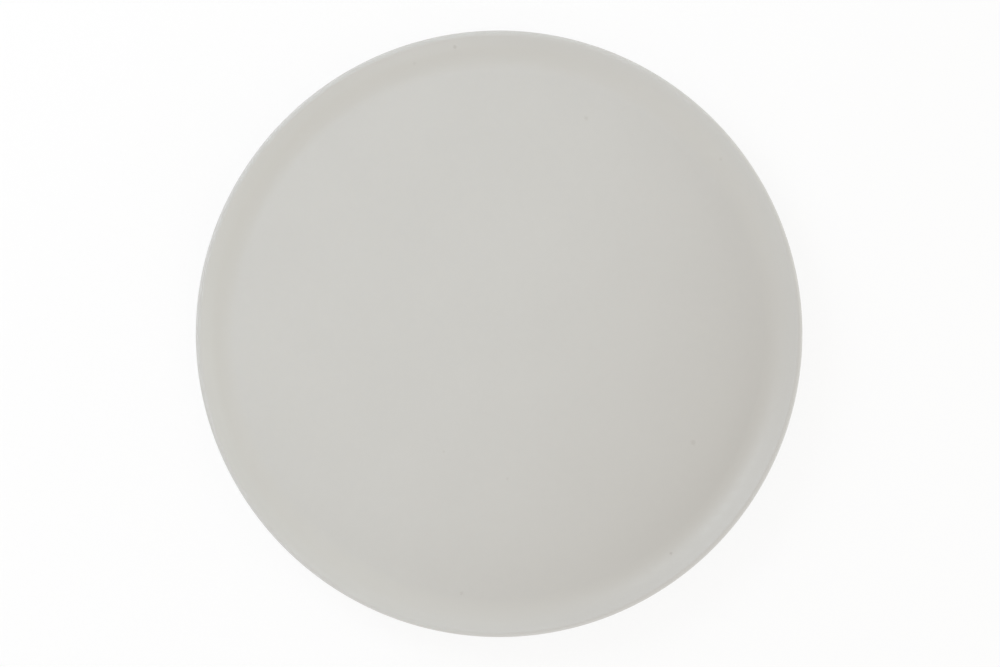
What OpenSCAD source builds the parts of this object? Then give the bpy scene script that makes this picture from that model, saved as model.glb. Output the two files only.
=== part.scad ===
// Coupe dinner plate in glazed stoneware: a flat floor, a hollow cove, a short sloping
// wall with a round lip and no flange, and a turned foot ring under it.
// Z is up. The origin is on the table, at the middle of the plate. Sizes are in millimetres.

/* [Plate] */
// Outside diameter, over the glaze
plate_d = 270; // [180:1:360]
// Height of the lip above the table, over the glaze
plate_h = 18; // [16:0.5:32]
// Thickness of the round lip, over the glaze
lip_t = 3.2; // [2.4:0.1:6]
// Slope of the rim wall above the level, in degrees
wall_angle = 40; // [32:1:50]
// Thickness of the clay floor
floor_t = 5.5; // [3.5:0.1:7.5]
// Radius of the hollow curve from the floor up into the wall, over the glaze
cove_r = 17.5; // [8:0.5:26]
// Radius of the outside curve from the underside up into the wall, over the glaze
heel_r = 22; // [8:0.5:30]

/* [Foot ring] */
// Distance from the plate's edge in to the middle of the foot ring
foot_setback = 52; // [36:1:70]
// Height of the clay underside above the table
foot_h = 5; // [3:0.1:7]
// Width of the foot ring at the table, before its edges are rounded
foot_w = 5; // [3.5:0.1:12]
// Lean of the foot ring's flanks from the upright, in degrees
foot_draft = 15; // [5:1:30]
// Radius of the hollow between the foot ring and the underside
foot_fillet_r = 1.8; // [0.8:0.1:2.4]
// Radius of the foot ring's edges at the table
foot_edge_r = 0.8; // [0.3:0.1:1.5]

/* [Glaze] */
// Thickness of the glaze on the floor, the underside and the base
glaze_t = 0.4; // [0.2:0.05:0.7]
// Thickness of the glaze over the lip, where it runs thin
lip_glaze_t = 0.2; // [0.1:0.05:0.4]
// Thickness of the glaze at the middle of the cove, where it pools
pool_t = 0.6; // [0.3:0.05:1.1]
// Thickness of the fused layer between the clay and each coat, which keeps their solids clear
bond_t = 0.02; // [0.01:0.01:0.05]
// Height above the table at which the glaze stops on the foot ring
dry_h = 1.5; // [1.1:0.1:2.1]
// Length of the rounded end at which the glaze stops
roll_len = 0.8; // [0.2:0.1:1.1]

/* [Hidden] */
$fn = 120;

// Depth to which each arc cuts into the lines that it touches, so that they meet cleanly
weld = 0.0005;

// Direction in the section, where x runs out from the plate's axis and y runs up
function way(a) = [cos(a), sin(a)];

// Height of the clay floor above the table, and of the middle of the clay under it
floor_z = foot_h + floor_t;
mid_z = foot_h + floor_t / 2;
// Radius of the lip over the glaze and in the clay, and the middle that both share
lip_r = lip_t / 2;
clay_lip_r = lip_r - lip_glaze_t;
lip_c = [plate_d / 2 - lip_r, plate_h - lip_r];
// Radius of the clay's cove, tighter than the glaze's by what makes the pool in it
half_turn = cos(wall_angle / 2);
even_coat = (glaze_t + lip_glaze_t) / 2 / half_turn;
clay_cove_r = cove_r - (pool_t - even_coat) / (1 / half_turn - 1);
clay_heel_r = heel_r - glaze_t;
// Direction across the wall, from its outer face to its inner face
across = way(wall_angle + 90);

// Radius of the plate at the middle of the foot ring
foot_r = plate_d / 2 - foot_setback;
// Directions out from the foot ring's outer flank and up along it
flank_out = way(-foot_draft);
flank_up = way(90 - foot_draft);
// Middles of the arcs on the foot ring's outer side, with x from the middle of the ring
fillet_c = [
    foot_w / 2 + (foot_fillet_r + (foot_h - foot_fillet_r) * sin(foot_draft)) / cos(foot_draft),
    foot_h - foot_fillet_r
];
edge_c = [foot_w / 2 - foot_edge_r * (1 - sin(foot_draft)) / cos(foot_draft), foot_edge_r];

// Length and radius of the glaze's rounded end, no longer than the straight flank
coat_t = glaze_t - bond_t;
flank_len = (foot_h - foot_fillet_r * (1 - sin(foot_draft)) - dry_h) / cos(foot_draft);
roll = min(roll_len, flank_len);
roll_r = (roll * roll + coat_t * coat_t) / 2 / coat_t;

// Middle of the cove or the heel, from the lip's middle: the arc has radius r, touches the level
// line at height z and lies at a distance from the wall's middle line
function run_in(from_wall, rise) = (from_wall - rise * cos(wall_angle)) / sin(wall_angle);
function arc_c(r, z, from_wall) = [-run_in(from_wall, z + r - lip_c.y), z + r - lip_c.y];

// Middle of the clay at the bend between the floor and the wall
bend = way(wall_angle / 2 - 90);
mid_bend = lip_c + (arc_c(clay_cove_r, floor_z, clay_cove_r + clay_lip_r) + clay_cove_r * bend
    + arc_c(clay_heel_r, foot_h, clay_heel_r - clay_lip_r) + clay_heel_r * bend) / 2;

// Disc in the section
module disc(c, r) {
    translate(c) circle(r);
}

// What rounding a corner takes away: the corner beyond a disc, from one touching point to the other
module corner_waste(c, r, from, corner, to) {
    difference() {
        polygon([from, 2 * corner - c, to]);
        disc(c, r + weld);
    }
}

// Section of a dish, from the heights of its floor and underside and the radii of its arcs
module dish(top, under, lip, cove, heel) {
    left = -lip_c.x;
    top_y = top - lip_c.y;
    under_y = under - lip_c.y;
    cove_at = arc_c(cove, top, cove + lip);
    heel_at = arc_c(heel, under, heel - lip);
    corner = heel_at + heel * [tan(wall_angle / 2), -1];
    translate(lip_c)
        difference() {
            union() {
                polygon([
                    [left, under_y], corner, (weld - lip) * across, (lip - weld) * across,
                    cove_at - cove * across, [cove_at.x, top_y], [left, top_y]
                ]);
                circle(lip);
            }
            disc(cove_at, cove + weld);
            corner_waste(heel_at, heel, [heel_at.x, under_y], corner, heel_at - heel * across);
        }
}

// Section of the foot ring with sharp edges, grown sideways by a distance
module foot_block(out = 0) {
    r = foot_fillet_r - out;
    touch = fillet_c - r * flank_out;
    half_w = foot_w / 2 + out / cos(foot_draft);
    half_top = half_w + mid_z * tan(foot_draft);
    translate([foot_r, 0])
        union() {
            polygon([[-half_w, 0], [half_w, 0], [half_top, mid_z], [-half_top, mid_z]]);
            difference() {
                polygon([
                    [-touch.x, touch.y], touch, [fillet_c.x, foot_h - out],
                    [fillet_c.x, mid_z], [-fillet_c.x, mid_z], [-fillet_c.x, foot_h - out]
                ]);
                for (side = [1, -1]) disc([side * fillet_c.x, fillet_c.y], r + weld);
            }
        }
}

// Section of the clay with sharp edges on its foot, grown by a distance
module clay_section(out = 0) {
    union() {
        dish(floor_z + out, foot_h - out, clay_lip_r + out, clay_cove_r - out, clay_heel_r + out);
        foot_block(out);
    }
}

// Section of the glaze all round the clay, thin over the lip and deep in the cove
module coat_section() {
    difference() {
        union() {
            dish(floor_z + glaze_t, foot_h - glaze_t, lip_r, cove_r, heel_r);
            foot_block(glaze_t);
        }
        clay_section(bond_t);
    }
}

// Outline on one side of the foot ring, 1 for the outer and -1 for the inner
function on_side(points, side) =
    [for (i = [0 : len(points) - 1])
        let (p = points[side > 0 ? i : len(points) - 1 - i]) [foot_r + side * p.x, p.y]];

// What rounding takes away from the foot ring's edge on one side
module edge_waste(side) {
    at = on_side([[edge_c.x, 0], [foot_w / 2, 0], edge_c + foot_edge_r * flank_out], side);
    corner_waste([foot_r + side * edge_c.x, edge_c.y], foot_edge_r, at[0], at[1], at[2]);
}

// What is wiped off the foot ring's flank on one side, up to the glaze's rounded end
module wiped(side) {
    dry = [foot_w / 2 + dry_h * tan(foot_draft), dry_h];
    start = dry + roll * flank_up;
    end = dry - 2 * dry_h * flank_up;
    difference() {
        polygon(on_side([
            start - glaze_t * flank_out, end - glaze_t * flank_out,
            end + 2 * glaze_t * flank_out, start + 2 * glaze_t * flank_out
        ], side));
        disc(on_side([start + (glaze_t - roll_r) * flank_out], side)[0], roll_r + weld);
    }
}

// Pressed and fired clay, bare only on the foot ring's bearing edge
module clay_body() {
    color("#cdb9a0")
        rotate_extrude()
            difference() {
                clay_section();
                edge_waste(1);
                edge_waste(-1);
            }
}

// Coat on the eating side, out to the lip's outermost edge
module face_glaze() {
    color("#d0cfcb")
        rotate_extrude()
            intersection() {
                coat_section();
                polygon([
                    [0, mid_z], mid_bend, lip_c, [plate_d, lip_c.y],
                    [plate_d, 2 * plate_h], [0, 2 * plate_h]
                ]);
            }
}

// Coat on the outside, from the lip's outermost edge to the foot ring's outer flank
module back_glaze() {
    color("#cbc9c3")
        rotate_extrude()
            difference() {
                intersection() {
                    coat_section();
                    polygon([
                        [foot_r, -dry_h], [plate_d, -dry_h], [plate_d, lip_c.y],
                        lip_c, mid_bend, [foot_r, mid_z]
                    ]);
                }
                wiped(1);
            }
}

// Coat inside the foot ring, up its inner flank
module base_glaze() {
    color("#c9c7c1")
        rotate_extrude()
            difference() {
                intersection() {
                    coat_section();
                    polygon([[0, -dry_h], [foot_r, -dry_h], [foot_r, mid_z], [0, mid_z]]);
                }
                wiped(-1);
            }
}

clay_body();
face_glaze();
back_glaze();
base_glaze();
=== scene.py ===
import math

import bpy
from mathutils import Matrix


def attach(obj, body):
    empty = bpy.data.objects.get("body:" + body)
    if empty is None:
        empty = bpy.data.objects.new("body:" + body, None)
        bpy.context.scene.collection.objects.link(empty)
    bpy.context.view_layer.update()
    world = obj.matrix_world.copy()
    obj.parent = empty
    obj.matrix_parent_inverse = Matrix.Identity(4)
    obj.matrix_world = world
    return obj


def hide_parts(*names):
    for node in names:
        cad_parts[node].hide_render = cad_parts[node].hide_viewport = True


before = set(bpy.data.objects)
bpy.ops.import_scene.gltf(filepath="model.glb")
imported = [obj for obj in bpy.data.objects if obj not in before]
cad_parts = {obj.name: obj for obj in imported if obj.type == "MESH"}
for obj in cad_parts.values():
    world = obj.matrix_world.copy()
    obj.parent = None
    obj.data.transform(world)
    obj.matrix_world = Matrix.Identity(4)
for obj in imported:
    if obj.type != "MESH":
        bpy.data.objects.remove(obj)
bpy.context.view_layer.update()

# Fired clay body: one blank of buff, slightly gritty stoneware, pressed between a spinning mould and a
# profile tool, so floor, cove, wall, lip and foot ring are all one. The glaze covers it down to a dry
# line on the foot ring, and only the ring's bearing edge is left bare.
MM = 0.001
WALL_ANGLE = 40
LIP_CENTRE = (133.4, 16.4)
CLAY_LIP_R = 1.4
CLAY_FLOOR_Z = 10.5
CLAY_COVE_R = 13.125
CLAY_HEEL_R = 21.6
CLAY_UNDERSIDE_Z = 5.0
FOOT_R = 83.0
FOOT_HALF_W = 2.5
FOOT_LEAN = 15
FOOT_FILLET_R = 1.8
FOOT_EDGE_R = 0.8
FILLET_OUT = 5.221
EDGE_OUT = 1.886
# Steps of a whole turn and of the section's arcs and flanks
TURN_STEPS = 256
CLAY_COVE_STEPS = 14
CLAY_LIP_STEPS = 24
CLAY_HEEL_STEPS = 14
FOOT_ROUND_STEPS = 8
FOOT_FLAT_STEPS = 4
# Gap under which points are merged, and the angle up to which faces are shaded as one
MERGE_GAP = 0.004
SMOOTH_ANGLE = 40

pen = [0.0, 0.0]


def start_section(name, point):
    """Starts a piece as one vertex at a point of its section: radius and height in millimetres."""
    bpy.ops.object.select_all(action="DESELECT")
    bpy.ops.mesh.primitive_plane_add(size=MM)
    piece = bpy.context.object
    piece.name = name
    piece.data.name = name
    bpy.ops.object.mode_set(mode="EDIT")
    bpy.ops.mesh.select_mode(type="VERT")
    bpy.ops.mesh.select_all(action="SELECT")
    bpy.ops.mesh.merge(type="CENTER")
    bpy.ops.transform.translate(value=(point[0] * MM, 0, point[1] * MM))
    pen[:] = point
    return piece


def line_to(point, steps=1):
    """Extrudes the section's open end to a point, in equal steps."""
    step = ((point[0] - pen[0]) / steps * MM, 0, (point[1] - pen[1]) / steps * MM)
    for _ in range(steps):
        bpy.ops.mesh.extrude_region_move(TRANSFORM_OT_translate={"value": step})
    pen[:] = point


def arc_about(centre, turn, steps):
    """Spins the section's open end about a centre, anticlockwise for a positive turn in degrees."""
    middle = (centre[0] * MM, 0, centre[1] * MM)
    bpy.ops.mesh.spin(steps=steps, angle=math.radians(turn), center=middle, axis=(0, 1, 0))
    c, s = math.cos(math.radians(turn)), math.sin(math.radians(turn))
    x, z = pen[0] - centre[0], pen[1] - centre[1]
    pen[:] = (centre[0] + x * c - z * s, centre[1] + x * s + z * c)


def turn_section():
    """Turns the drawn section once round the plate's axis and closes its seam and poles."""
    bpy.ops.mesh.select_all(action="SELECT")
    bpy.ops.mesh.spin(steps=TURN_STEPS, angle=2 * math.pi, center=(0, 0, 0), axis=(0, 0, 1))
    bpy.ops.mesh.select_all(action="SELECT")
    bpy.ops.mesh.remove_doubles(threshold=MERGE_GAP * MM)
    bpy.ops.mesh.normals_make_consistent(inside=False)
    bpy.ops.object.mode_set(mode="OBJECT")
    bpy.ops.object.shade_smooth_by_angle(angle=math.radians(SMOOTH_ANGLE))


def on_circle(centre, radius, angle):
    """Point of a circle of the section, at an angle in degrees from level and outward."""
    a = math.radians(angle)
    return centre[0] + radius * math.cos(a), centre[1] + radius * math.sin(a)


def beside_wall(radius, level, from_wall):
    """Centre of an arc that touches a level face and stands off the wall's middle line."""
    a = math.radians(WALL_ANGLE)
    rise = level + radius - LIP_CENTRE[1]
    return LIP_CENTRE[0] - (from_wall - rise * math.cos(a)) / math.sin(a), level + radius


clay_cove = beside_wall(CLAY_COVE_R, CLAY_FLOOR_Z, CLAY_COVE_R + CLAY_LIP_R)
clay_heel = beside_wall(CLAY_HEEL_R, CLAY_UNDERSIDE_Z, CLAY_HEEL_R - CLAY_LIP_R)
outer_fillet = (FOOT_R + FILLET_OUT, CLAY_UNDERSIDE_Z - FOOT_FILLET_R)
inner_fillet = (FOOT_R - FILLET_OUT, CLAY_UNDERSIDE_Z - FOOT_FILLET_R)
outer_edge = (FOOT_R + EDGE_OUT, FOOT_EDGE_R)
inner_edge = (FOOT_R - EDGE_OUT, FOOT_EDGE_R)
fillet_turn = 90 - FOOT_LEAN

clay = start_section("fired_clay", (0, CLAY_FLOOR_Z))
line_to((clay_cove[0], CLAY_FLOOR_Z))
arc_about(clay_cove, WALL_ANGLE, CLAY_COVE_STEPS)
line_to(on_circle(LIP_CENTRE, CLAY_LIP_R, WALL_ANGLE + 90))
arc_about(LIP_CENTRE, -180, CLAY_LIP_STEPS)
line_to(on_circle(clay_heel, CLAY_HEEL_R, WALL_ANGLE - 90))
arc_about(clay_heel, -WALL_ANGLE, CLAY_HEEL_STEPS)
line_to((outer_fillet[0], CLAY_UNDERSIDE_Z))
arc_about(outer_fillet, fillet_turn, FOOT_ROUND_STEPS)
line_to(on_circle(outer_edge, FOOT_EDGE_R, -FOOT_LEAN), FOOT_FLAT_STEPS)
arc_about(outer_edge, -fillet_turn, FOOT_ROUND_STEPS)
line_to((inner_edge[0], 0), FOOT_FLAT_STEPS)
arc_about(inner_edge, -fillet_turn, FOOT_ROUND_STEPS)
line_to(on_circle(inner_fillet, FOOT_FILLET_R, FOOT_LEAN), FOOT_FLAT_STEPS)
arc_about(inner_fillet, fillet_turn, FOOT_ROUND_STEPS)
line_to((0, CLAY_UNDERSIDE_Z))
turn_section()


def put(tree, kind, feeds=(), **settings):
    """Adds a shader node. Feeds are pairs of an input and its value or the output that feeds it."""
    made = tree.nodes.new(kind)
    for name, value in settings.items():
        setattr(made, name, value)
    for socket, value in feeds:
        if isinstance(value, bpy.types.NodeSocket):
            tree.links.new(value, made.inputs[socket])
        else:
            made.inputs[socket].default_value = value
    return made


def start_group(name, inputs, outputs):
    """Starts a shader node group and returns its tree, its input node and its output node."""
    tree = bpy.data.node_groups.new(name, "ShaderNodeTree")
    for socket, kind in inputs:
        tree.interface.new_socket(socket, in_out="INPUT", socket_type="NodeSocket" + kind)
    for socket, kind in outputs:
        tree.interface.new_socket(socket, in_out="OUTPUT", socket_type="NodeSocket" + kind)
    return tree, tree.nodes.new("NodeGroupInput"), tree.nodes.new("NodeGroupOutput")


def ramp(tree, value, low, high, at_low=0.0, at_high=1.0):
    """Eases a value from one level to another between two limits."""
    feeds = (("Value", value), (1, low), (2, high), (3, at_low), (4, at_high))
    return put(tree, "ShaderNodeMapRange", feeds, interpolation_type="SMOOTHSTEP").outputs[0]


def math_of(tree, operation, first, second, third=0.5):
    """Joins two or three values by one operation."""
    feeds = ((0, first), (1, second), (2, third))
    return put(tree, "ShaderNodeMath", feeds, operation=operation).outputs[0]


def noise_of(tree, place, scale, detail):
    """Cloudy noise from 0 to 1, at so many waves to the metre."""
    feeds = (("Vector", place), ("Scale", scale), ("Detail", detail))
    return put(tree, "ShaderNodeTexNoise", feeds).outputs[0]


def blend_tones(tree, share, first, second):
    """Mixes two colours by a share."""
    feeds = ((0, share), (6, first), (7, second))
    return put(tree, "ShaderNodeMix", feeds, data_type="RGBA").outputs[2]


# Scattered specks serve the bare clay as grit and the hidden coats as iron. Each cell of a fine
# division of space holds at most one speck, and only a share of the cells has any.
scatter, scatter_in, scatter_out = start_group(
    "scattered_specks",
    (("Cells per metre", "Float"), ("Share", "Float"), ("Size", "Float")),
    (("Mask", "Float"),),
)
place = put(scatter, "ShaderNodeTexCoord").outputs["Object"]
feeds = (("Vector", place), ("Scale", scatter_in.outputs["Cells per metre"]))
cells = put(scatter, "ShaderNodeTexVoronoi", feeds)
draw = put(scatter, "ShaderNodeSeparateColor", ((0, cells.outputs["Color"]),))
taken = math_of(scatter, "LESS_THAN", draw.outputs[0], scatter_in.outputs["Share"])
width = math_of(scatter, "MULTIPLY_ADD", draw.outputs[1], 0.7, 0.3)
reach = math_of(scatter, "MULTIPLY", width, scatter_in.outputs["Size"])
core = math_of(scatter, "MULTIPLY", reach, 0.4)
inside = ramp(scatter, cells.outputs["Distance"], core, reach, 1.0, 0.0)
scatter.links.new(math_of(scatter, "MULTIPLY", inside, taken), scatter_out.inputs["Mask"])

CLAY_TONE = (0.560, 0.445, 0.330, 1)
CLAY_PALE = (0.660, 0.550, 0.425, 1)
CLAY_GRIT = (0.240, 0.165, 0.105, 1)
GRIT_SPREAD = (("Cells per metre", 750.0), ("Share", 0.30), ("Size", 0.34))
CLAY_RELIEF = 0.10

bare_clay = bpy.data.materials.new("bare_stoneware")
bare_clay.use_nodes = True
tree = bare_clay.node_tree
shader = tree.nodes["Principled BSDF"]
place = put(tree, "ShaderNodeTexCoord").outputs["Object"]
drift = noise_of(tree, place, 90.0, 4.0)
grain = noise_of(tree, place, 1400.0, 3.0)
grit = put(tree, "ShaderNodeGroup", GRIT_SPREAD, node_tree=scatter).outputs["Mask"]
shade = math_of(tree, "MULTIPLY_ADD", grain, 0.5, math_of(tree, "MULTIPLY", drift, 0.5))
tone = blend_tones(tree, ramp(tree, shade, 0.36, 0.64), CLAY_TONE, CLAY_PALE)
speckled = math_of(tree, "MULTIPLY", grit, 0.75)
tree.links.new(blend_tones(tree, speckled, tone, CLAY_GRIT), shader.inputs["Base Color"])
tree.links.new(ramp(tree, grain, 0.3, 0.7, 0.82, 0.95), shader.inputs["Roughness"])
relief = math_of(tree, "SUBTRACT", grain, math_of(tree, "MULTIPLY", grit, 0.5))
feeds = (("Strength", 0.8), ("Distance", CLAY_RELIEF * MM), ("Height", relief))
tree.links.new(put(tree, "ShaderNodeBump", feeds).outputs[0], shader.inputs["Normal"])
shader.inputs["Specular IOR Level"].default_value = 0.35
clay.data.materials.append(bare_clay)
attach(clay, "root")
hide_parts("clay_body")

# Face coat: satin glaze sprayed on the eating side and melted in the second firing. It lies even on the
# floor, pools in the cove, draws thin over the lip and ends at the lip's outermost edge.
# A few specks of iron from the clay show through it, and its surface has the faint waver of a melt.
COAT_LIP_R = 1.6
FACE_FLOOR_Z = 10.9
FACE_COVE_R = 17.5
FACE_FLOOR_STEPS = 24
FACE_COVE_STEPS = 22
FACE_WALL_STEPS = 6
FACE_LIP_STEPS = 36
UNDER_FACE_LIP_STEPS = 19
# Height of the face coat's waver, the radii at which it is none and full, and the size of its swells
FACE_WAVER = 0.10
FACE_WAVER_EDGE = (124.0, 116.0)
MELT_SIZE = 34

face_cove = beside_wall(FACE_COVE_R, FACE_FLOOR_Z, FACE_COVE_R + COAT_LIP_R)
lip_edge = (LIP_CENTRE[0] + COAT_LIP_R, LIP_CENTRE[1])

face = start_section("face_coat", (0, FACE_FLOOR_Z))
line_to((face_cove[0], FACE_FLOOR_Z), FACE_FLOOR_STEPS)
arc_about(face_cove, WALL_ANGLE, FACE_COVE_STEPS)
line_to(on_circle(LIP_CENTRE, COAT_LIP_R, WALL_ANGLE + 90), FACE_WALL_STEPS)
arc_about(LIP_CENTRE, -WALL_ANGLE - 90, FACE_LIP_STEPS)
line_to((LIP_CENTRE[0] + CLAY_LIP_R, LIP_CENTRE[1]))
arc_about(LIP_CENTRE, WALL_ANGLE + 90, UNDER_FACE_LIP_STEPS)
line_to(on_circle(clay_cove, CLAY_COVE_R, WALL_ANGLE - 90))
arc_about(clay_cove, -WALL_ANGLE, CLAY_COVE_STEPS)
line_to((0, CLAY_FLOOR_Z))
turn_section()

melt = bpy.data.textures.new("melt_waver", "CLOUDS")
melt.noise_scale = MELT_SIZE * MM
melt.noise_depth = 1


def waver(piece, texture, share_at, strength, direction="NORMAL"):
    """Moves a coat's points by a cloudy texture, each by the share that goes with its radius and height."""
    group = piece.vertex_groups.new(name="share")
    for vertex in piece.data.vertices:
        share = share_at(math.hypot(vertex.co.x, vertex.co.y) / MM, vertex.co.z / MM)
        group.add([vertex.index], share, "REPLACE")
    bpy.ops.object.select_all(action="DESELECT")
    bpy.context.view_layer.objects.active = piece
    piece.select_set(True)
    lift = piece.modifiers.new("waver", "DISPLACE")
    lift.texture = texture
    lift.texture_coords = "LOCAL"
    lift.direction = direction
    lift.vertex_group = group.name
    lift.mid_level = 0.5
    lift.strength = strength * MM
    bpy.ops.object.modifier_apply(modifier=lift.name)
    piece.vertex_groups.clear()


def eased(value, none, full):
    """Share from 0 to 1 as a value goes from one limit to the other."""
    return max(0.0, min(1.0, (value - none) / (full - none)))


def face_share(r, z):
    """Full on the open floor and none from the wall outwards or on the side that meets the clay."""
    on_top = z >= FACE_FLOOR_Z - 0.01
    return eased(r, *FACE_WAVER_EDGE) if on_top else 0.0


waver(face, melt, face_share, FACE_WAVER)

# The look that all three coats share: a body tone that drifts a little in depth, paler where the coat
# is thin and deeper where it pools, with a satin skin that is slightly curdled and dimpled.
glaze, glaze_in, glaze_out = start_group(
    "satin_glaze",
    (
        ("Tone", "Color"),
        ("Thin Tone", "Color"),
        ("Pool Tone", "Color"),
        ("Thin", "Float"),
        ("Pool", "Float"),
        ("Satin", "Float"),
        ("Shift", "Vector"),
    ),
    (("Color", "Color"), ("Roughness", "Float"), ("Height", "Float")),
)
place = put(glaze, "ShaderNodeTexCoord").outputs["Object"]
moved = put(glaze, "ShaderNodeVectorMath", ((0, place), (1, glaze_in.outputs["Shift"]))).outputs[0]
depth = noise_of(glaze, moved, 26.0, 3.0)
curdle = noise_of(glaze, moved, 260.0, 2.0)
peel = noise_of(glaze, moved, 620.0, 1.0)
both = math_of(glaze, "MULTIPLY_ADD", depth, 0.6, math_of(glaze, "MULTIPLY", curdle, 0.4))
level = ramp(glaze, both, 0.32, 0.68, 0.992, 1.008)
feeds = ((0, glaze_in.outputs["Tone"]), ("Scale", level))
body = put(glaze, "ShaderNodeVectorMath", feeds, operation="SCALE").outputs[0]
pooled = blend_tones(glaze, glaze_in.outputs["Pool"], body, glaze_in.outputs["Pool Tone"])
thinned = blend_tones(glaze, glaze_in.outputs["Thin"], pooled, glaze_in.outputs["Thin Tone"])
glaze.links.new(thinned, glaze_out.inputs["Color"])
skin = ramp(glaze, curdle, 0.3, 0.7, -0.04, 0.04)
dry = math_of(glaze, "MULTIPLY", glaze_in.outputs["Thin"], 0.05)
wet = math_of(glaze, "MULTIPLY", glaze_in.outputs["Pool"], -0.05)
worn = math_of(glaze, "ADD", math_of(glaze, "ADD", skin, dry), wet)
satin = math_of(glaze, "ADD", glaze_in.outputs["Satin"], worn)
glaze.links.new(satin, glaze_out.inputs["Roughness"])
dimple = math_of(glaze, "MULTIPLY_ADD", curdle, 1.6, peel)
glaze.links.new(dimple, glaze_out.inputs["Height"])

# One iron speck, seen in plan at its place on the plate, with a ragged soft edge.
speck, speck_in, speck_out = start_group(
    "iron_speck",
    (("Centre", "Vector"), ("Size", "Float"), ("Strength", "Float")),
    (("Mask", "Float"),),
)
place = put(speck, "ShaderNodeTexCoord").outputs["Object"]
feeds = ((0, place), (1, (1, 1, 0)))
plan = put(speck, "ShaderNodeVectorMath", feeds, operation="MULTIPLY").outputs[0]
feeds = ((0, plan), (1, speck_in.outputs["Centre"]))
apart = put(speck, "ShaderNodeVectorMath", feeds, operation="DISTANCE").outputs["Value"]
ragged = ramp(speck, noise_of(speck, place, 1500.0, 1.0), 0.3, 0.7, 0.75, 1.25)
edge = math_of(speck, "MULTIPLY", speck_in.outputs["Size"], ragged)
spot = ramp(speck, apart, math_of(speck, "MULTIPLY", edge, 0.25), edge, 1.0, 0.0)
faint = math_of(speck, "MULTIPLY", spot, speck_in.outputs["Strength"])
speck.links.new(faint, speck_out.inputs["Mask"])

FACE_TONE = (0.575, 0.567, 0.540, 1)
FACE_THIN = (0.580, 0.574, 0.552, 1)
FACE_POOL = (0.572, 0.562, 0.531, 1)
IRON = (0.165, 0.120, 0.085, 1)
SATIN = 0.50
GLAZE_IOR = 1.5
GLAZE_RELIEF = 0.012
# Radii between which the face coat thins, and at which its pool starts, is full, fades and ends
FACE_THINS = (130.5, 134.0)
FACE_POOLS = (117.0, 122.0, 126.0, 130.0)
# Place in plan and radius of each speck in millimetres, and its strength
FACE_SPECKS = (
    (76.8, -98.1, 0.95, 0.21),
    (-19.7, 127.7, 1.15, 0.17),
    (86.8, -48.7, 1.70, 0.115),
    (-16.7, -116.0, 1.20, 0.115),
    (39.0, 96.4, 1.30, 0.11),
    (-37.8, 120.7, 1.00, 0.07),
    (98.9, 78.0, 1.10, 0.075),
    (-24.7, -52.8, 0.90, 0.075),
    (3.7, -64.8, 0.90, 0.075),
)


def glaze_material(name, shift, tones, thins, pools, thins_upward=False):
    """A coat's own material: the shared satin look, with this coat's tones and its thin and pooled places.

    The coat thins outwards, or upwards where that is said, and pools in a ring.
    """
    made = bpy.data.materials.new(name)
    made.use_nodes = True
    tree = made.node_tree
    shader = tree.nodes["Principled BSDF"]
    coords = put(tree, "ShaderNodeTexCoord").outputs["Object"]
    parts = put(tree, "ShaderNodeSeparateXYZ", ((0, coords),))
    plan = put(tree, "ShaderNodeCombineXYZ", ((0, parts.outputs[0]), (1, parts.outputs[1]))).outputs[0]
    radius = put(tree, "ShaderNodeVectorMath", ((0, plan),), operation="LENGTH").outputs["Value"]
    thin = ramp(tree, parts.outputs[2] if thins_upward else radius, thins[0] * MM, thins[1] * MM)
    rise = ramp(tree, radius, pools[0] * MM, pools[1] * MM)
    fall = ramp(tree, radius, pools[2] * MM, pools[3] * MM, 1.0, 0.0)
    feeds = (
        ("Tone", tones[0]),
        ("Thin Tone", tones[1]),
        ("Pool Tone", tones[2]),
        ("Thin", thin),
        ("Pool", math_of(tree, "MULTIPLY", rise, fall)),
        ("Satin", SATIN),
        ("Shift", shift),
    )
    look = put(tree, "ShaderNodeGroup", feeds, node_tree=glaze)
    tree.links.new(look.outputs["Roughness"], shader.inputs["Roughness"])
    feeds = (("Strength", 0.6), ("Distance", GLAZE_RELIEF * MM), ("Height", look.outputs["Height"]))
    tree.links.new(put(tree, "ShaderNodeBump", feeds).outputs[0], shader.inputs["Normal"])
    shader.inputs["IOR"].default_value = GLAZE_IOR
    return made, tree, shader, look.outputs["Color"]


face_glaze, tree, shader, colour = glaze_material(
    "face_satin_glaze",
    (0.0, 0.0, 0.0),
    (FACE_TONE, FACE_THIN, FACE_POOL),
    FACE_THINS,
    FACE_POOLS,
)
spots = 0.0
for x, y, size, strength in FACE_SPECKS:
    feeds = (("Centre", (x * MM, y * MM, 0)), ("Size", size * MM), ("Strength", strength))
    one = put(tree, "ShaderNodeGroup", feeds, node_tree=speck)
    spots = math_of(tree, "MAXIMUM", spots, one.outputs["Mask"])
tree.links.new(blend_tones(tree, spots, colour, IRON), shader.inputs["Base Color"])
face.data.materials.append(face_glaze)
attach(face, "root")
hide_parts("face_glaze")

# Back coat: the same glaze sprayed on the outside, from the lip's outermost edge down the wall, round
# the heel and along the underside. It fills the hollow beside the foot ring and stops on the ring's
# outer flank in a rolled edge that wavers where the foot was wiped before the firing.
COAT_HEEL_R = 22.0
COAT_UNDERSIDE_Z = 4.6
COAT_T = 0.4
DRY_Z = 1.5
ROLL = 0.8
BACK_LIP_STEPS = 10
BACK_WALL_STEPS = 4
BACK_HEEL_STEPS = 22
UNDERSIDE_STEPS = 8
UNDER_BACK_LIP_STEPS = 5
COAT_FILLET_STEPS = 10
COAT_FLANK_STEPS = 2
ROLL_STEPS = 8
# Height of the back coat's waver, the radii at which it is none and full by the foot and by the rim,
# and the height and length of the swells in the dry line
BACK_WAVER = 0.12
BACK_WAVER_FOOT = (90.0, 96.0)
BACK_WAVER_RIM = (124.0, 118.0)
DRY_WAVER = 0.55
WIPE_SIZE = 16

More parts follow.
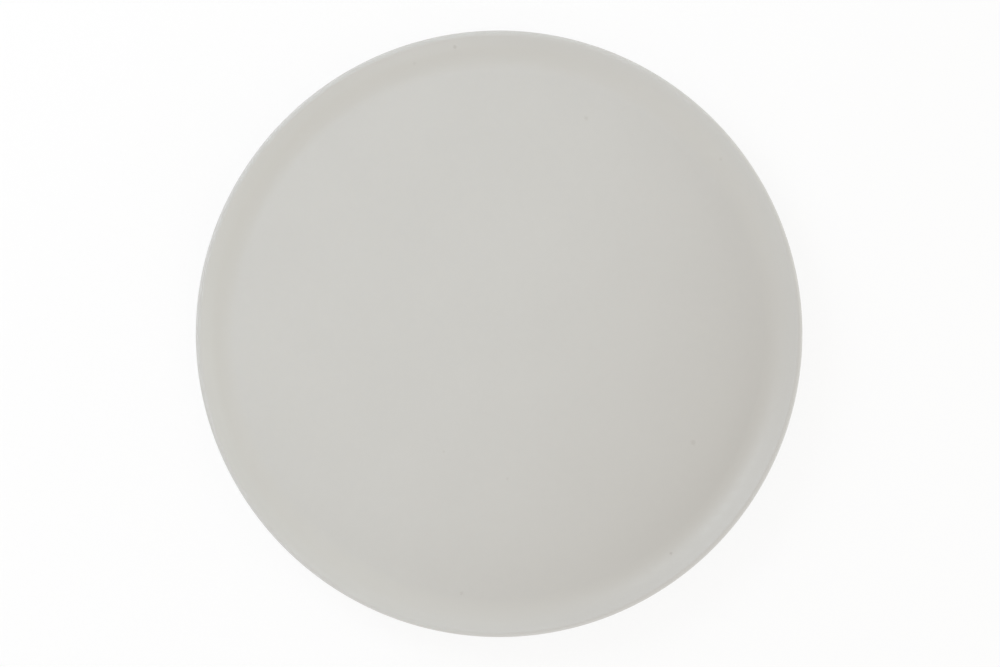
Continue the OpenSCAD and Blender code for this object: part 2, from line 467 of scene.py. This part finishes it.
back_heel = beside_wall(COAT_HEEL_R, COAT_UNDERSIDE_Z, COAT_HEEL_R - COAT_LIP_R)
flank_top = CLAY_UNDERSIDE_Z - FOOT_FILLET_R * (1 - math.sin(math.radians(FOOT_LEAN)))


def flank(side, z, out):
    """Point beside the foot ring's outer (1) or inner (-1) flank, at a height and a distance off it."""
    a = math.radians(FOOT_LEAN)
    run = FOOT_HALF_W + z * math.tan(a) + out * math.cos(a)
    return FOOT_R + side * run, z - out * math.sin(a)


def roll_edge(side):
    """Draws the rounded end of a coat, from its full thickness down to the dry line."""
    radius = (ROLL * ROLL + COAT_T * COAT_T) / (2 * COAT_T)
    shoulder_z = DRY_Z + ROLL * math.cos(math.radians(FOOT_LEAN))
    line_to(flank(side, shoulder_z, COAT_T), COAT_FLANK_STEPS)
    turn = math.degrees(math.asin(ROLL / radius))
    arc_about(flank(side, shoulder_z, COAT_T - radius), -side * turn, ROLL_STEPS)


back = start_section("back_coat", lip_edge)
arc_about(LIP_CENTRE, WALL_ANGLE - 90, BACK_LIP_STEPS)
line_to(on_circle(back_heel, COAT_HEEL_R, WALL_ANGLE - 90), BACK_WALL_STEPS)
arc_about(back_heel, -WALL_ANGLE, BACK_HEEL_STEPS)
line_to((outer_fillet[0], COAT_UNDERSIDE_Z), UNDERSIDE_STEPS)
arc_about(outer_fillet, fillet_turn, COAT_FILLET_STEPS)
roll_edge(1)
line_to(on_circle(outer_fillet, FOOT_FILLET_R, 180 - FOOT_LEAN), COAT_FLANK_STEPS)
arc_about(outer_fillet, -fillet_turn, FOOT_ROUND_STEPS)
line_to((clay_heel[0], CLAY_UNDERSIDE_Z))
arc_about(clay_heel, WALL_ANGLE, CLAY_HEEL_STEPS)
line_to(on_circle(LIP_CENTRE, CLAY_LIP_R, WALL_ANGLE - 90))
arc_about(LIP_CENTRE, 90 - WALL_ANGLE, UNDER_BACK_LIP_STEPS)
line_to(lip_edge)
turn_section()

wipe = bpy.data.textures.new("wiped_foot", "CLOUDS")
wipe.noise_scale = WIPE_SIZE * MM
wipe.noise_depth = 2


def back_share(r, z):
    """Full on the open underside, easing to none up the wall, at the foot and where it meets the clay."""
    if CLAY_UNDERSIDE_Z - 0.3 < z and r < clay_heel[0]:
        return 0.0
    if math.hypot(r - back_heel[0], z - back_heel[1]) < COAT_HEEL_R - 0.02 and r > back_heel[0]:
        return 0.0
    return min(eased(r, *BACK_WAVER_FOOT), eased(r, *BACK_WAVER_RIM))


def dry_share(r, z):
    """Full at the dry line and none from the top of the foot ring's straight flank."""
    return eased(z, flank_top, DRY_Z)


waver(back, melt, back_share, BACK_WAVER)
waver(back, wipe, dry_share, DRY_WAVER, "Z")

BACK_TONE = (0.565, 0.555, 0.520, 1)
BACK_THIN = (0.575, 0.567, 0.540, 1)
BACK_POOL = (0.560, 0.549, 0.510, 1)
# Heights between which the back coat thins, and the radii of its pool beside the foot
BACK_THINS = (14.0, 18.0)
BACK_POOLS = (86.0, 87.5, 89.0, 93.0)
IRON_SPREAD = (("Cells per metre", 95.0), ("Share", 0.12), ("Size", 0.085))
IRON_STRENGTH = 0.3


def add_iron(tree, shader, colour):
    """Sprinkles small iron specks over a hidden coat."""
    iron = put(tree, "ShaderNodeGroup", IRON_SPREAD, node_tree=scatter)
    share = math_of(tree, "MULTIPLY", iron.outputs["Mask"], IRON_STRENGTH)
    tree.links.new(blend_tones(tree, share, colour, IRON), shader.inputs["Base Color"])


back_glaze, tree, shader, colour = glaze_material(
    "back_satin_glaze",
    (0.31, 0.17, 0.05),
    (BACK_TONE, BACK_THIN, BACK_POOL),
    BACK_THINS,
    BACK_POOLS,
    thins_upward=True,
)
add_iron(tree, shader, colour)
back.data.materials.append(back_glaze)
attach(back, "root")
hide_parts("back_glaze")

# Base coat: the disc of glaze inside the foot ring, cut off from the back coat by the bare foot.
# It is flat and free of any stamp, and rolls to an end on the ring's inner flank as the back coat does.
BASE_STEPS = 16
BASE_WAVER = 0.12
BASE_WAVER_EDGE = (76.0, 70.0)

base = start_section("base_coat", (0, COAT_UNDERSIDE_Z))
line_to((inner_fillet[0], COAT_UNDERSIDE_Z), BASE_STEPS)
arc_about(inner_fillet, -fillet_turn, COAT_FILLET_STEPS)
roll_edge(-1)
line_to(on_circle(inner_fillet, FOOT_FILLET_R, FOOT_LEAN), COAT_FLANK_STEPS)
arc_about(inner_fillet, fillet_turn, FOOT_ROUND_STEPS)
line_to((0, CLAY_UNDERSIDE_Z))
turn_section()


def base_share(r, z):
    """Full on the open disc and none at the foot or on the side that meets the clay."""
    open_side = z <= COAT_UNDERSIDE_Z + 0.01
    return eased(r, *BASE_WAVER_EDGE) if open_side else 0.0


waver(base, melt, base_share, BASE_WAVER)
waver(base, wipe, dry_share, DRY_WAVER, "Z")

BASE_TONE = (0.560, 0.550, 0.514, 1)
BASE_POOL = (0.555, 0.543, 0.503, 1)
BASE_THINS = (79.0, 80.0)
BASE_POOLS = (73.0, 77.0, 78.5, 80.0)

base_glaze, tree, shader, colour = glaze_material(
    "base_satin_glaze",
    (0.12, 0.43, 0.09),
    (BASE_TONE, BASE_TONE, BASE_POOL),
    BASE_THINS,
    BASE_POOLS,
)
add_iron(tree, shader, colour)
base.data.materials.append(base_glaze)
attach(base, "root")
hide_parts("base_glaze")

# Studio: a plain white floor that keeps the plate's soft shadow, an even surround, a large soft light and
# a gridded softbox at the upper left, and low fills at the right and the front, with the camera straight
# above. The softbox's edge lies across the plate, so that the light fades towards the lower right.
FLOOR_SIZE = 9.0
FLOOR_TONE = (0.92, 0.92, 0.92, 1)
WHITE = (1, 1, 1, 1)
# Distances from the plate's middle, in metres, between which the floor turns white, and the share gained
NEAR_WHITE = (0.118, 0.134, 0.86)
FAR_WHITE = (0.28, 0.70, 0.14)


def seen_directly(tree):
    """1 where the camera, a reflection or glass looks at a surface, and 0 where it only passes light on."""
    rays = put(tree, "ShaderNodeLightPath").outputs
    seen = math_of(tree, "MAXIMUM", rays["Is Camera Ray"], rays["Is Glossy Ray"])
    return math_of(tree, "MAXIMUM", seen, rays["Is Transmission Ray"])


bpy.ops.object.select_all(action="DESELECT")
bpy.ops.mesh.primitive_plane_add(size=FLOOR_SIZE)
floor = bpy.context.object
floor.name = "studio_floor"
paper = bpy.data.materials.new("white_paper")
paper.use_nodes = True
tree = paper.node_tree
tree.nodes.clear()
coords = put(tree, "ShaderNodeTexCoord").outputs["Object"]
away = put(tree, "ShaderNodeVectorMath", ((0, coords),), operation="LENGTH").outputs["Value"]
near_share = ramp(tree, away, NEAR_WHITE[0], NEAR_WHITE[1], 0.0, NEAR_WHITE[2])
far_share = ramp(tree, away, FAR_WHITE[0], FAR_WHITE[1], 0.0, FAR_WHITE[2])
white_share = math_of(tree, "ADD", near_share, far_share)
shown = math_of(tree, "MULTIPLY", seen_directly(tree), white_share)
matt = put(tree, "ShaderNodeBsdfDiffuse", (("Color", FLOOR_TONE),))
white = put(tree, "ShaderNodeEmission", (("Color", WHITE), ("Strength", 1.0)))
feeds = ((0, shown), (1, matt.outputs[0]), (2, white.outputs[0]))
surface = put(tree, "ShaderNodeMixShader", feeds)
put(tree, "ShaderNodeOutputMaterial", ((0, surface.outputs[0]),))
floor.data.materials.append(paper)

SURROUND = (0.747, 0.711, 0.668, 1)
world = bpy.data.worlds.new("studio")
world.use_nodes = True
bpy.context.scene.world = world
tree = world.node_tree
tree.nodes.clear()
around = blend_tones(tree, seen_directly(tree), SURROUND, WHITE)
sky = put(tree, "ShaderNodeBackground", (("Color", around), ("Strength", 1.0)))
put(tree, "ShaderNodeOutputWorld", ((0, sky.outputs[0]),))

# Name, direction in plan and height above level in degrees, disc size in metres, power and colour
LIGHT_DISTANCE = 1.5
LIGHTS = (
    ("key_light", 140, 35, 0.9, 8.1, (0.78, 0.88, 1.0)),
    ("right_fill", 10, 5, 0.7, 8.4, (0.89, 0.98, 1.0)),
    ("front_fill", 280, 8, 0.4, 4.9, (0.87, 0.93, 1.0)),
)
SOFTBOX_TURN = math.radians(150)
SOFTBOX_SIZE = (0.9, 1.2)
SOFTBOX_OUT = 0.39
SOFTBOX_HEIGHT = 1.0
SOFTBOX_POWER = 0.26
SOFTBOX_COLOUR = (0.77, 0.89, 1.0)
SOFTBOX_SPREAD = math.radians(12)


def hang_lamp(name, place, turn, power, colour):
    """Hangs an area light at a place, turned as given, that the camera doesn't see."""
    bpy.ops.object.light_add(type="AREA", location=place, rotation=turn)
    lamp = bpy.context.object
    lamp.name = name
    lamp.data.energy = power
    lamp.data.color = colour
    lamp.visible_camera = False
    return lamp.data


for name, turn, lift, size, power, colour in LIGHTS:
    a, e = math.radians(turn), math.radians(lift)
    out = LIGHT_DISTANCE * math.cos(e)
    place = (out * math.cos(a), out * math.sin(a), LIGHT_DISTANCE * math.sin(e))
    disc = hang_lamp(name, place, (0, math.pi / 2 - e, a), power, colour)
    disc.shape = "DISK"
    disc.size = size

place = (SOFTBOX_OUT * math.cos(SOFTBOX_TURN), SOFTBOX_OUT * math.sin(SOFTBOX_TURN), SOFTBOX_HEIGHT)
softbox = hang_lamp("boom_softbox", place, (0, 0, SOFTBOX_TURN), SOFTBOX_POWER, SOFTBOX_COLOUR)
softbox.shape = "RECTANGLE"
softbox.size, softbox.size_y = SOFTBOX_SIZE
softbox.spread = SOFTBOX_SPREAD

LENS = 100.0
SENSOR = 36.0
FRAME_PIXELS = 1000
PLATE_PIXELS = 303.3
CAMERA_PLACE = (0.40, 0.13)
camera_height = LENS / SENSOR * FRAME_PIXELS * lip_edge[0] / PLATE_PIXELS + lip_edge[1]
camera_place = (CAMERA_PLACE[0] * MM, CAMERA_PLACE[1] * MM, camera_height * MM)
bpy.ops.object.camera_add(location=camera_place, rotation=(0, 0, 0))
camera = bpy.context.object
camera.data.lens = LENS
camera.data.sensor_width = SENSOR
bpy.context.scene.camera = camera
bpy.context.scene.view_settings.view_transform = "Standard"
